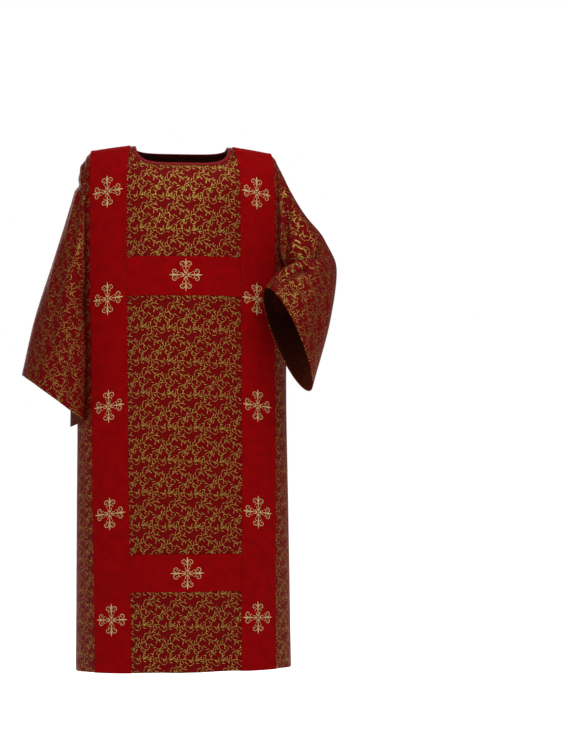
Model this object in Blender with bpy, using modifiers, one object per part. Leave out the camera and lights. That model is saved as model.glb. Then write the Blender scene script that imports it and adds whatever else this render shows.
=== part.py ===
"""A worn dalmatic: front and back panels, two wide sleeves, velvet strips and bands, and a bound neck.

Metres, +Z up. The wearer faces -Y and the wearer's left is +X. The origin is the middle of the neck, on the
line of the shoulders, where the wearer carries the garment. Cloth coordinates are "across", from the middle of
the panel along the cloth, and "down", from the shoulder line along the cloth: positive in front, negative behind.
"""

import bmesh
import bpy
import numpy as np
from mathutils import Vector

# Driving sizes
CLOTH_LENGTH = 1.199  # shoulder line to hem, along the cloth
HEM_RISE = 0.011  # the hem is cut higher at the sides, so that it hangs level
SHOULDER_ROUND = 0.105  # radius over which the cloth turns from the shoulder to the chest
SHOULDER_TURN = SHOULDER_ROUND * np.pi / 2
RING_POWER = 2.4  # squareness of the body's level sections
NECK_HALF_WIDTH = 0.1005
NECK_FRONT_DEPTH = 0.106
NECK_BACK_DEPTH = 0.046
NECK_POWER = 5.0
BINDING_WIDTH = 0.006
STRIP_WIDTH = 0.0855
STRIP_START_TOP = 0.1125  # inner edge of a strip at the shoulder line
STRIP_START = 0.1225  # and from the chest down
STRIP_TAPER = 0.004  # how much nearer the middle the strips end at the hem
SLOPE_START = 0.090  # the shoulder slopes from here out
SLOPE_RUN = 0.146
SLOPE_DROP = 0.022
SLOPE_POWER = 1.3
DIP_START = 0.198  # and dips to the sleeve's seam from here
DIP_STEEPNESS = 0.9
ARMHOLE_DEPTH = 0.42  # shoulder to underarm, along the cloth
ARMHOLE_TOP = 0.208  # across, at the shoulder
ARMHOLE_SET = 0.014  # how much further out the seam lies on the chest
ARMHOLE_TURN = 0.27  # down from here the seam turns out to the underarm
UPPER_BAND_FRONT = (0.312, 0.396)  # down the cloth, from and to
LOWER_BAND_FRONT = (0.948, 1.028)
UPPER_BAND_BACK = (0.262, 0.344)
LOWER_BAND_BACK = (0.930, 1.012)

BROCADE = 0.002
VELVET = 0.0016
BINDING = 0.0024
SEAM_GAP = 0.0003
EDGE_GAP = 0.0005  # half the gap between two panels' cut edges
SLEEVE_CLEARANCE = 0.008
CLEAR_LEVELS = (0.12, 0.23)  # a sleeve is kept off the body from between these levels down
CLEAR_WIDTHS = (0.212, 0.228)  # and, higher up, from between these half widths in
CLEAR_REACHES = (0.045, 0.080)  # but not on the shoulder line itself

# Level sections of the body: level, half width, reach in front and behind, and sway of the middle to +X.
HALF_WIDTH, FRONT, BACK, SWAY = 1, 2, 3, 4
BODY = np.array(
    [
        (0.00, 0.236, 0.118, 0.108, 0.000),
        (0.11, 0.236, 0.128, 0.120, 0.000),
        (0.30, 0.235, 0.130, 0.124, 0.000),
        (0.50, 0.231, 0.129, 0.124, 0.002),
        (0.80, 0.234, 0.136, 0.134, 0.004),
        (1.17, 0.2385, 0.150, 0.150, 0.006),
    ]
)

# Long soft folds of the body: where across, start and full depth down the cloth, half width and depth.
FRONT_FOLDS = [
    (-0.060, 0.45, 1.60, 0.045, -0.004),
    (0.075, 0.42, 1.70, 0.050, -0.006),
    (0.235, 0.55, 1.60, 0.028, -0.008),
    (-0.238, 0.55, 1.60, 0.030, -0.008),
]
BACK_FOLDS = [
    (-0.030, 0.25, 1.50, 0.035, -0.005),
    (0.065, 0.30, 1.60, 0.040, -0.006),
    (0.235, 0.50, 1.60, 0.030, -0.009),
    (-0.235, 0.50, 1.60, 0.030, -0.009),
]

# Sections of a sleeve, on the +X side: place along it, two opposite points, the half width to the side that
# shows, and how far the section has turned about the arm, in degrees.
TOP_POINT, LOW_POINT, TO_FRONT, TURN = (1, 2, 3), (4, 5, 6), (7, 8, 9), 10
HANGING_SLEEVE = np.array(
    [
        (0.00, 0.211, 0.000, -0.027, 0.236, 0.000, -0.384, 0.000, -0.070, 0.000, 0),
        (0.08, 0.222, 0.002, -0.052, 0.222, 0.000, -0.404, 0.000, -0.077, 0.000, 0),
        (0.25, 0.2415, 0.004, -0.125, 0.203, 0.000, -0.440, 0.000, -0.090, 0.000, 0),
        (0.50, 0.280, 0.002, -0.252, 0.192, 0.000, -0.492, 0.000, -0.104, 0.000, 0),
        (0.75, 0.321, -0.002, -0.382, 0.190, 0.000, -0.556, 0.000, -0.110, 0.000, 0),
        (1.00, 0.349, -0.005, -0.506, 0.192, -0.002, -0.620, 0.000, -0.112, 0.004, 0),
    ]
)
BENT_SLEEVE = np.array(
    [
        (0.00, 0.211, 0.000, -0.027, 0.236, 0.000, -0.384, 0.000, -0.070, 0.000, 0),
        (0.10, 0.226, -0.004, -0.060, 0.240, -0.006, -0.376, 0.000, -0.078, 0.000, 0),
        (0.25, 0.258, -0.010, -0.122, 0.246, -0.020, -0.356, -0.010, -0.090, 0.000, 0),
        (0.43, 0.316, -0.006, -0.216, 0.226, -0.092, -0.322, 0.022, -0.050, 0.026, -32),
        (0.50, 0.338, 0.000, -0.247, 0.214, -0.108, -0.300, 0.016, -0.030, 0.018, -45),
        (0.57, 0.337, -0.018, -0.276, 0.204, -0.130, -0.289, 0.026, -0.062, 0.034, -45),
        (0.78, 0.306, -0.110, -0.408, 0.184, -0.174, -0.303, 0.032, -0.060, 0.026, -45),
        (1.00, 0.263, -0.198, -0.540, 0.166, -0.210, -0.322, 0.018, -0.058, 0.012, -45),
    ]
)

# Mesh steps
BODY_ROWS = 12  # below the underarm
ARMHOLE_ROWS = 10
SLEEVE_ROWS = 14


def smooth_step(value, start, end):
    part = np.clip((value - start) / (end - start), 0.0, 1.0)
    return part * part * (3 - 2 * part)


def flow(table, column, at):
    """A column of a table as one smooth curve, a cubic through its rows."""
    knots, values = table[:, 0], table[:, column]
    slopes = np.gradient(values, knots)
    at = np.clip(at, knots[0], knots[-1])
    i = np.clip(np.searchsorted(knots, at, side="right") - 1, 0, len(knots) - 2)
    span = knots[i + 1] - knots[i]
    f = (at - knots[i]) / span
    return (
        (2 * f**3 - 3 * f**2 + 1) * values[i]
        + (f**3 - 2 * f**2 + f) * span * slopes[i]
        + (3 * f**2 - 2 * f**3) * values[i + 1]
        + (f**3 - f**2) * span * slopes[i + 1]
    )


def body_section(level, behind):
    """Half width, reach and sway of the body's outline at this level below the shoulder line."""
    half_width = flow(BODY, HALF_WIDTH, level)
    reach = np.where(behind, flow(BODY, BACK, level), flow(BODY, FRONT, level))
    turned = np.arccos(np.clip(1 - level / SHOULDER_ROUND, 0.0, 1.0))
    return half_width, reach * np.sin(turned), flow(BODY, SWAY, level)


def outline_lengths(half_width, reach, steps=160):
    """Points of a quarter outline, middle to side, and their distance along it."""
    angle = np.linspace(0, np.pi / 2, steps)
    x = half_width[..., None] * np.sin(angle) ** (2 / RING_POWER)
    y = reach[..., None] * np.cos(angle) ** (2 / RING_POWER)
    step = np.hypot(np.diff(x), np.diff(y))
    return angle, np.concatenate([np.zeros_like(x[..., :1]), np.cumsum(step, -1)], -1)


def level_of(down):
    turned = np.clip(np.abs(down) / SHOULDER_TURN, 0, 1) * np.pi / 2
    return SHOULDER_ROUND * (1 - np.cos(turned)) + np.maximum(np.abs(down) - SHOULDER_TURN, 0)


def shoulder_drop(x, level):
    """How far the cloth lies below the middle, out along the shoulder: a slope, and a dip past the strip."""
    slope = SLOPE_DROP * (np.maximum(np.abs(x) - SLOPE_START, 0) / SLOPE_RUN) ** SLOPE_POWER
    near_top = np.clip(1 - level / SHOULDER_ROUND, 0, 1)
    dip = DIP_STEEPNESS * np.maximum(np.abs(x) - DIP_START, 0) * near_top
    return slope + dip


def folds(across, down):
    """Outward move of the cloth at its long folds."""
    moved = np.zeros(np.broadcast(across, down).shape)
    for rows, behind in ((FRONT_FOLDS, False), (BACK_FOLDS, True)):
        for middle, start, end, half_width, depth in rows:
            here = np.exp(-(((across - middle) / half_width) ** 2))
            grown = smooth_step(np.abs(down), start, end)
            moved += np.where((down < 0) == behind, depth * here * grown * 2, 0)
    return moved


def cloth(across, down):
    """The body cloth's outer face at cloth coordinates across and down, an array of points."""
    across, down = np.broadcast_arrays(np.asarray(across, float), np.asarray(down, float))
    rise = HEM_RISE * smooth_step(np.abs(across), 0.08, 0.24) * smooth_step(np.abs(down), 0.85, 1.2)
    down = down - np.sign(down) * rise
    behind = down < 0
    level = level_of(down)
    half_width, reach, sway = body_section(level, behind)
    angle, lengths = outline_lengths(half_width, reach)
    along = np.minimum(np.abs(across), lengths[..., -1] - 1e-9)
    i = np.clip((lengths < along[..., None]).sum(-1) - 1, 0, len(angle) - 2)
    start = np.take_along_axis(lengths, i[..., None], -1)[..., 0]
    end = np.take_along_axis(lengths, i[..., None] + 1, -1)[..., 0]
    at = angle[i] + (along - start) / (end - start) * (angle[1] - angle[0])
    x = np.sign(across) * half_width * np.sin(at) ** (2 / RING_POWER)
    grown = 1 + folds(across, down) / (reach + 0.02)
    y = reach * np.cos(at) ** (2 / RING_POWER) * grown * np.where(behind, 1, -1)
    return np.stack([x + sway, y, -level - shoulder_drop(x, level)], -1)


def half_girth(down):
    """Distance along the cloth from the middle of a panel to its side seam."""
    half_width, reach, _ = body_section(level_of(down), np.asarray(down) < 0)
    return outline_lengths(half_width, reach)[1][..., -1]


def armhole(down):
    """Distance across to the armhole seam."""
    down = np.abs(down)
    near = ARMHOLE_TOP + ARMHOLE_SET * smooth_step(down, 0, SHOULDER_TURN)
    turn = smooth_step(down, ARMHOLE_TURN, ARMHOLE_DEPTH + 0.004)
    return near + (half_girth(down) - near) * turn


def panel_edge(down):
    down = np.asarray(down, float)
    return np.where(np.abs(down) < ARMHOLE_DEPTH, armhole(down), half_girth(down)) - EDGE_GAP


def strip_start(down):
    spread = smooth_step(np.abs(down), 0, SHOULDER_TURN)
    taper = STRIP_TAPER * smooth_step(np.abs(down), 0.7, CLOTH_LENGTH)
    return STRIP_START_TOP + (STRIP_START - STRIP_START_TOP) * spread - taper


def outward(across, down, step=1e-4):
    """Unit normals of the cloth, pointing away from the wearer."""
    a = cloth(across + step, down) - cloth(across - step, down)
    b = cloth(across, down + step) - cloth(across, down - step)
    normal = np.cross(b, a)
    return normal / np.linalg.norm(normal, axis=-1, keepdims=True)


# The grid that panels, strips and bands share, so that what lies on a panel follows its facets.
ARMHOLE_DOWN = ARMHOLE_DEPTH * (1 - np.cos(np.pi * np.arange(ARMHOLE_ROWS + 1) / ARMHOLE_ROWS)) / 2
BODY_DOWN = np.linspace(ARMHOLE_DEPTH, CLOTH_LENGTH, BODY_ROWS + 1)[1:]
ALL_DOWN = np.concatenate([ARMHOLE_DOWN, BODY_DOWN])
NECK_EDGE = NECK_HALF_WIDTH + BINDING_WIDTH + SEAM_GAP
NECK_ACROSS = NECK_EDGE * np.array([0, 0.30, 0.58, 0.79, 0.91, 0.97, 1.0])


def columns(down):
    """Across values of one row of the shared grid, from the middle to the panel's edge."""
    start, edge = strip_start(down), panel_edge(down)
    end = start + STRIP_WIDTH
    past = end + (edge - end) * np.array([0.38, 0.70, 0.90, 1.0])
    return np.concatenate([NECK_ACROSS, [start, start + STRIP_WIDTH / 2, end], past])


def mirrored(values):
    return np.concatenate([-values[:0:-1], values])


def sheet_object(name, points, material, thickness, offset, wrap=False):
    """An open surface from a grid of points, given its thickness by Solidify. Columns run to +X, rows away."""
    rows, across = points.shape[:2]
    form = bmesh.new()
    bmesh.ops.create_grid(form, x_segments=across - 1, y_segments=rows - 1, size=1.0)
    for vertex in form.verts:
        column = round((vertex.co.x + 1) / 2 * (across - 1))
        row = round((vertex.co.y + 1) / 2 * (rows - 1))
        vertex.co = Vector(points[row, column])
    if wrap:
        bmesh.ops.remove_doubles(form, verts=form.verts, dist=1e-6)
    mesh = bpy.data.meshes.new(name)
    form.to_mesh(mesh)
    form.free()
    mesh.materials.append(material)
    mesh.shade_smooth()
    piece = bpy.data.objects.new(name, mesh)
    garment.objects.link(piece)
    wall = piece.modifiers.new("Wall", "SOLIDIFY")
    wall.thickness = thickness
    wall.offset = offset
    return piece


def cloth_material(name, colour, roughness):
    material = bpy.data.materials.new(name)
    material.use_nodes = True
    shader = material.node_tree.nodes["Principled BSDF"]
    shader.inputs["Base Color"].default_value = (*colour, 1.0)
    shader.inputs["Roughness"].default_value = roughness
    shader.inputs["Metallic"].default_value = 0.0
    return material


def make_panel(name, side, neck_depth, material):
    """Front (side 1) or back (side -1): rows from the shoulder line and the neck's edge to the hem."""
    rows = []
    for down in ALL_DOWN:
        across = mirrored(columns(down))
        top = neck_edge(across, neck_depth, BINDING_WIDTH + SEAM_GAP)
        fitted = np.where(down < 0.30, top + (0.30 - top) * down / 0.30, down)
        rows.append(cloth(across, side * np.maximum(fitted, EDGE_GAP)))
    points = np.array(rows)
    return sheet_object(name, points[::-side], material, BROCADE, -1.0)


def make_strip(name, side, material):
    """A velvet strip from the front hem over the shoulder to the back hem, on the wearer's left for side 1."""
    down = np.concatenate([-ALL_DOWN[:0:-1], ALL_DOWN])
    rows = []
    for at in down[::-1]:
        start = strip_start(at)
        across = side * (start + STRIP_WIDTH * np.array([0, 0.5, 1.0]))
        across = np.sort(across)
        rows.append(cloth(across, at) + outward(across, at) * SEAM_GAP)
    return sheet_object(name, np.array(rows), material, VELVET, 1.0)


def make_band(name, side, reach, material):
    """A velvet band across a panel, between the two strips."""
    down = [d for d in ALL_DOWN if reach[0] + 0.01 < d < reach[1] - 0.01]
    rows = []
    for at in [reach[0], *down, reach[1]]:
        inner = np.append(NECK_ACROSS, strip_start(at) - SEAM_GAP)
        across = mirrored(inner)
        rows.append(cloth(across, side * at) + outward(across, side * at) * SEAM_GAP)
    return sheet_object(name, np.array(rows)[::-side], material, VELVET, 1.0)


def neck_edge(across, depth, grown):
    """Down to the neck's edge at these places across, a squarish curve, grown outward from the opening."""
    inside = np.clip(1 - (np.abs(across) / (NECK_HALF_WIDTH + grown)) ** NECK_POWER, 0, 1)
    return (depth + grown) * inside ** (1 / NECK_POWER)


def neck_ring(grown):
    """The neck's edge once round: along the front to +X and back along the back."""
    across = mirrored(NECK_ACROSS) * (NECK_HALF_WIDTH + grown) / NECK_ACROSS[-1]
    front, back = (neck_edge(across, depth, grown) for depth in (NECK_FRONT_DEPTH, NECK_BACK_DEPTH))
    return cloth(np.append(across, across[-2::-1]), np.append(front, -back[-2::-1]))


def make_binding(material):
    """The binding: a closed band round the neck's edge."""
    rings = np.array([neck_ring(BINDING_WIDTH), neck_ring(0.0)])
    return sheet_object("neck_binding", rings, material, BINDING, 0.0, wrap=True)


def clear_of_body(points, clearance):
    """Moves points that are too near the body straight out from its middle."""
    level = np.maximum(-points[..., 2] - shoulder_drop(points[..., 0], 1.0), 1e-4)
    half_width, reach, sway = body_section(level, points[..., 1] > 0)
    x, y = points[..., 0] - sway, points[..., 1]
    near = (np.abs(x) / (half_width + clearance)) ** RING_POWER
    near += (np.abs(y) / (reach + clearance)) ** RING_POWER
    push = np.maximum(1.0, np.maximum(near, 1e-3) ** (-1 / RING_POWER))
    inside = 1 - smooth_step(np.abs(x), *CLEAR_WIDTHS)
    inside = inside * smooth_step(np.abs(y), *CLEAR_REACHES)
    push = 1 + (push - 1) * np.maximum(smooth_step(level, *CLEAR_LEVELS), inside)
    moved = points.copy()
    moved[..., 0] = x * push + sway
    moved[..., 1] = y * push
    return moved


def sleeve_rings(table, along, angle):
    """Sections of a sleeve on the +X side. The angle runs from the top over the front."""
    first, second, wide = (
        np.stack([flow(table, column, along) for column in group], -1)
        for group in (TOP_POINT, LOW_POINT, TO_FRONT)
    )
    turn = np.radians(flow(table, TURN, along))
    middle, long_way = (first + second) / 2, (first - second) / 2
    around = angle - turn[..., None]
    return (
        middle[..., None, :]
        + long_way[..., None, :] * np.cos(around)[..., None]
        + wide[..., None, :] * np.sin(around)[..., None]
    )


def make_sleeve(name, side, table, material):
    """A sleeve tube from the armhole seam to its hem."""
    angle = np.pi * np.arange(-ARMHOLE_ROWS, ARMHOLE_ROWS + 1) / ARMHOLE_ROWS
    along = np.linspace(0, 1, SLEEVE_ROWS + 1)
    down = np.sign(angle) * ARMHOLE_DEPTH * (1 - np.cos(angle)) / 2
    down = np.clip(down, EDGE_GAP * 2 - ARMHOLE_DEPTH, ARMHOLE_DEPTH - EDGE_GAP * 2)
    seam = cloth(armhole(down) + EDGE_GAP, down)
    free = sleeve_rings(table, along, angle)
    hold = (1 - smooth_step(along, 0, 0.30))[:, None, None]
    clearance = SLEEVE_CLEARANCE * smooth_step(along, -0.06, 0.12)[:, None]
    points = clear_of_body(free + hold * (seam - free[0]), clearance)
    points[0] = seam
    points[..., 0] *= side
    points = points if side > 0 else points[:, ::-1]
    return sheet_object(name, points, material, BROCADE, -1.0, wrap=True)


def main():
    brocade = cloth_material("brocade", (0.16, 0.035, 0.015), 0.55)
    velvet = cloth_material("velvet", (0.25, 0.002, 0.004), 0.9)
    braid = cloth_material("binding", (0.20, 0.004, 0.008), 0.7)
    make_panel("front_panel", 1, NECK_FRONT_DEPTH, brocade)
    make_panel("back_panel", -1, NECK_BACK_DEPTH, brocade.copy())
    make_sleeve("sleeve_right", -1, HANGING_SLEEVE, brocade.copy())
    make_sleeve("sleeve_left", 1, BENT_SLEEVE, brocade.copy())
    make_strip("clavus_right", -1, velvet)
    make_strip("clavus_left", 1, velvet.copy())
    make_band("band_front_upper", 1, UPPER_BAND_FRONT, velvet.copy())
    make_band("band_front_lower", 1, LOWER_BAND_FRONT, velvet.copy())
    make_band("band_back_upper", -1, UPPER_BAND_BACK, velvet.copy())
    make_band("band_back_lower", -1, LOWER_BAND_BACK, velvet.copy())
    make_binding(braid)


for old in list(bpy.data.objects):
    bpy.data.objects.remove(old, do_unlink=True)
garment = bpy.data.collections.new("dalmatic")
bpy.context.scene.collection.children.link(garment)
main()
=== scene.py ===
"""The looks of a worn dalmatic: figured brocade, velvet strips and bands, embroidered crosses, a bound neck.

Metres, +Z up. The wearer faces -Y and their left is +X. Cloth coordinates are "across", from the middle of
the garment along the cloth, and "down", from the shoulder line along the cloth: positive in front, negative
behind.
"""

import math

import bmesh
import bpy
import numpy as np
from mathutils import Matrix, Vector


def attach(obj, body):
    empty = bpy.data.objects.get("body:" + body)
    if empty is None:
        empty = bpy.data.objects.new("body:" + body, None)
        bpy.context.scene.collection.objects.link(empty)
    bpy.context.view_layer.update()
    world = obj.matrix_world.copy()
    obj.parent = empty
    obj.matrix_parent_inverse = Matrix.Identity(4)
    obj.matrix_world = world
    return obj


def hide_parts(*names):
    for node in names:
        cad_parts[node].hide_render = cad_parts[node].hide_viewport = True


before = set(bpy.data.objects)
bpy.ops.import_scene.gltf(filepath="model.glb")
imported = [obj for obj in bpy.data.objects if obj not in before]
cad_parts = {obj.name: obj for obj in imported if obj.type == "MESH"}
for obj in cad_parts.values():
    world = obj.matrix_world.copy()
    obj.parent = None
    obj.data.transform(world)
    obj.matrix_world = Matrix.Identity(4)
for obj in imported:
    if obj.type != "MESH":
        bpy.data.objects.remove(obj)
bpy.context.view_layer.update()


# ---------------------------------------------------------------- The room
# A plain pale floor and a white surround, soft light from the upper front with a broad fill from the left and
# a broad lamp behind, and the camera level with the waist, a little to the garment's right.
SENSOR_WIDTH_MM, LENS_MM = 36.0, 75.6
EYE_DISTANCE = 3.5
EYE_HEIGHT = -0.506
EYE_AZIMUTH = math.radians(2.5)
LOOK_OFF = math.radians(3.785)
FLOOR_HEIGHT, FLOOR_HALF_WIDTH = -1.47, 12.0
FLOOR_PALENESS = 0.9
SURROUND_LIGHT = 0.18

camera = bpy.data.objects.new("camera", bpy.data.cameras.new("camera"))
camera.data.sensor_width = SENSOR_WIDTH_MM
camera.data.lens = LENS_MM
camera.location = (
    -EYE_DISTANCE * math.sin(EYE_AZIMUTH),
    -EYE_DISTANCE * math.cos(EYE_AZIMUTH),
    EYE_HEIGHT,
)
camera.rotation_euler = (math.pi / 2, 0.0, -(EYE_AZIMUTH + LOOK_OFF))
bpy.context.collection.objects.link(camera)
bpy.context.scene.camera = camera

world = bpy.data.worlds.new("pale studio")
world.use_nodes = True
sky = world.node_tree.nodes["Background"]
sky.inputs["Color"].default_value = (1.0, 1.0, 1.0, 1.0)
# The surround shows white, and lights the cloth only faintly.
seen = world.node_tree.nodes.new("ShaderNodeLightPath")
bright = world.node_tree.nodes.new("ShaderNodeMapRange")
bright.inputs["To Min"].default_value = SURROUND_LIGHT
bright.inputs["To Max"].default_value = 1.0
world.node_tree.links.new(seen.outputs["Is Camera Ray"], bright.inputs["Value"])
world.node_tree.links.new(bright.outputs["Result"], sky.inputs["Strength"])
bpy.context.scene.world = world
bpy.context.scene.view_settings.view_transform = "Standard"

pale = bpy.data.materials.new("pale floor")
pale.use_nodes = True
pale_shader = pale.node_tree.nodes["Principled BSDF"]
pale_shader.inputs["Base Color"].default_value = (*[FLOOR_PALENESS] * 3, 1.0)
pale_shader.inputs["Roughness"].default_value = 0.9
pale_shader.inputs["Emission Color"].default_value = (1.0, 1.0, 1.0, 1.0)
pale_shader.inputs["Emission Strength"].default_value = FLOOR_PALENESS
floor_form = bmesh.new()
bmesh.ops.create_grid(floor_form, x_segments=1, y_segments=1, size=FLOOR_HALF_WIDTH)
bmesh.ops.translate(floor_form, verts=floor_form.verts, vec=(0, 0, FLOOR_HEIGHT))
floor_mesh = bpy.data.meshes.new("floor")
floor_form.to_mesh(floor_mesh)
floor_form.free()
floor_mesh.materials.append(pale)
floor = bpy.data.objects.new("floor", floor_mesh)
bpy.context.collection.objects.link(floor)

# Each lamp: place, what it looks at, width and height of its soft box, and watts.
LAMPS = {
    "key": ((0.9, -2.7, 1.9), (0.05, 0.0, -0.35), 1.5, 1.5, 84),
    "top": ((0.1, -0.7, 1.5), (0.0, -0.05, 0.0), 1.4, 0.9, 26),
    "fill": ((-2.6, -2.4, 0.2), (0.0, 0.0, -0.6), 2.2, 2.2, 17),
    "low": ((0.6, -3.2, -1.1), (0.0, 0.0, -0.8), 2.0, 1.0, 9),
    "from_behind": ((-0.4, 3.0, 0.6), (0.0, 0.0, -0.5), 2.4, 2.4, 52),
}
for lamp_name, (place, target, width, height, watts) in LAMPS.items():
    lamp = bpy.data.lights.new(lamp_name, "AREA")
    lamp.shape = "RECTANGLE"
    lamp.size, lamp.size_y, lamp.energy = width, height, watts
    lamp_object = bpy.data.objects.new(lamp_name, lamp)
    lamp_object.location = place
    toward = Vector(target) - Vector(place)
    lamp_object.rotation_euler = toward.to_track_quat("-Z", "Y").to_euler()
    bpy.context.collection.objects.link(lamp_object)


# ---------------------------------------------------------------- How the body cloth hangs
# The front and the back are one tube of level, squarish sections that closes over the shoulders. It falls
# almost straight from the chest, with long shallow folds that deepen towards the hem.
CLOTH_LENGTH = 1.199
HEM_RISE, HEM_RISE_ACROSS, HEM_RISE_DOWN = 0.011, (0.08, 0.24), (0.85, 1.2)
SHOULDER_ROUND = 0.105
SHOULDER_TURN = SHOULDER_ROUND * np.pi / 2
RING_POWER = 2.4
SLOPE_START, SLOPE_RUN, SLOPE_DROP, SLOPE_POWER = 0.090, 0.146, 0.022, 1.3
DIP_START, DIP_STEEPNESS = 0.198, 0.9
LEAST_FOLD_REACH = 0.02

# Level, half width, reach in front, reach behind, sway of the middle to +X.
BODY = np.array(
    [
        (0.00, 0.236, 0.118, 0.108, 0.000),
        (0.11, 0.236, 0.128, 0.120, 0.000),
        (0.30, 0.235, 0.130, 0.124, 0.000),
        (0.50, 0.231, 0.129, 0.124, 0.002),
        (0.80, 0.234, 0.136, 0.134, 0.004),
        (1.17, 0.2385, 0.150, 0.150, 0.006),
    ]
)

# Whether behind, across, start and full depth down the cloth, half width, half depth. Rows of 2 mm or less
# are the small ones.
FOLDS = [
    (False, -0.060, 0.45, 1.60, 0.045, -0.004),
    (False, 0.075, 0.42, 1.70, 0.050, -0.006),
    (False, 0.235, 0.55, 1.60, 0.028, -0.008),
    (False, -0.238, 0.55, 1.60, 0.030, -0.008),
    (True, -0.030, 0.25, 1.50, 0.035, -0.005),
    (True, 0.065, 0.30, 1.60, 0.040, -0.006),
    (True, 0.235, 0.50, 1.60, 0.030, -0.009),
    (True, -0.235, 0.50, 1.60, 0.030, -0.009),
    (False, -0.020, 0.35, 1.30, 0.018, 0.0015),
    (False, 0.028, 0.50, 1.45, 0.016, 0.0012),
    (False, -0.100, 0.60, 1.50, 0.014, 0.0014),
    (False, 0.105, 0.38, 1.20, 0.013, -0.0014),
    (True, -0.095, 0.42, 1.40, 0.016, 0.0020),
    (True, 0.015, 0.55, 1.50, 0.017, 0.0018),
    (True, 0.110, 0.40, 1.30, 0.014, -0.0016),
]


def smooth_step(value, start, end):
    part = np.clip((value - start) / (end - start), 0.0, 1.0)
    return part * part * (3 - 2 * part)


def flow(table, column, at):
    """A column of a table as one smooth curve, a cubic through its rows."""
    knots, values = table[:, 0], table[:, column]
    slopes = np.gradient(values, knots)
    at = np.clip(at, knots[0], knots[-1])
    i = np.clip(np.searchsorted(knots, at, side="right") - 1, 0, len(knots) - 2)
    span = knots[i + 1] - knots[i]
    f = (at - knots[i]) / span
    return (
        (2 * f**3 - 3 * f**2 + 1) * values[i]
        + (f**3 - 2 * f**2 + f) * span * slopes[i]
        + (3 * f**2 - 2 * f**3) * values[i + 1]
        + (f**3 - f**2) * span * slopes[i + 1]
    )


def body_section(level, behind):
    reach = np.where(behind, flow(BODY, 3, level), flow(BODY, 2, level))
    turned = np.arccos(np.clip(1 - level / SHOULDER_ROUND, 0.0, 1.0))
    return flow(BODY, 1, level), reach * np.sin(turned), flow(BODY, 4, level)


def outline_lengths(half_width, reach, steps=160):
    angle = np.linspace(0, np.pi / 2, steps)
    x = half_width[..., None] * np.sin(angle) ** (2 / RING_POWER)
    y = reach[..., None] * np.cos(angle) ** (2 / RING_POWER)
    step = np.hypot(np.diff(x), np.diff(y))
    return angle, np.concatenate([np.zeros_like(x[..., :1]), np.cumsum(step, -1)], -1)


def level_of(down):
    turned = np.clip(np.abs(down) / SHOULDER_TURN, 0, 1) * np.pi / 2
    return SHOULDER_ROUND * (1 - np.cos(turned)) + np.maximum(np.abs(down) - SHOULDER_TURN, 0)


def shoulder_drop(x, level):
    slope = SLOPE_DROP * (np.maximum(np.abs(x) - SLOPE_START, 0) / SLOPE_RUN) ** SLOPE_POWER
    near_top = np.clip(1 - level / SHOULDER_ROUND, 0, 1)
    return slope + DIP_STEEPNESS * np.maximum(np.abs(x) - DIP_START, 0) * near_top


def folds(across, down):
    moved = np.zeros(np.broadcast(across, down).shape)
    for behind, middle, start, end, half_width, depth in FOLDS:
        here = np.exp(-(((across - middle) / half_width) ** 2))
        grown = smooth_step(np.abs(down), start, end)
        moved += np.where((down < 0) == behind, depth * here * grown * 2, 0)
    return moved


def cloth(across, down):
    """The body cloth's outer face, an array of points."""
    across, down = np.broadcast_arrays(np.asarray(across, float), np.asarray(down, float))
    rise = HEM_RISE * smooth_step(np.abs(across), *HEM_RISE_ACROSS)
    rise = rise * smooth_step(np.abs(down), *HEM_RISE_DOWN)
    down = down - np.sign(down) * rise
    behind = down < 0
    level = level_of(down)
    half_width, reach, sway = body_section(level, behind)
    angle, lengths = outline_lengths(half_width, reach)
    along = np.minimum(np.abs(across), lengths[..., -1] - 1e-9)  # just short of the side
    i = np.clip((lengths < along[..., None]).sum(-1) - 1, 0, len(angle) - 2)
    start = np.take_along_axis(lengths, i[..., None], -1)[..., 0]
    end = np.take_along_axis(lengths, i[..., None] + 1, -1)[..., 0]
    at = angle[i] + (along - start) / (end - start) * (angle[1] - angle[0])
    x = np.sign(across) * half_width * np.sin(at) ** (2 / RING_POWER)
    grown = 1 + folds(across, down) / (reach + LEAST_FOLD_REACH)
    y = reach * np.cos(at) ** (2 / RING_POWER) * grown * np.where(behind, 1, -1)
    return np.stack([x + sway, y, -level - shoulder_drop(x, level)], -1)


def outward(across, down, step=1e-3):
    """Unit normals of the cloth, pointing away from the wearer."""
    a = cloth(across + step, down) - cloth(across - step, down)
    b = cloth(across, down + step) - cloth(across, down - step)
    normal = np.cross(b, a)
    return normal / np.linalg.norm(normal, axis=-1, keepdims=True)


# ---------------------------------------------------------------- Brocade
# A dark red satin with a vine scroll in flat gold thread: slanting sprays with a forked tip, leaves, drooping
# buds and scrolls. One spray is drawn, and the repeat holds it twice, once turned on its other side.
REPEAT = (56.0, 70.5)  # mm
FIGURE_START = (-0.0336, -0.148)
FIGURE_SKEW = 0.045
FIGURE_EDGE = 0.20  # mm
FIGURE_FINENESS = 0.54
STROKES_AT_ONCE = 6
TAPER_POWER = 4.0

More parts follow.
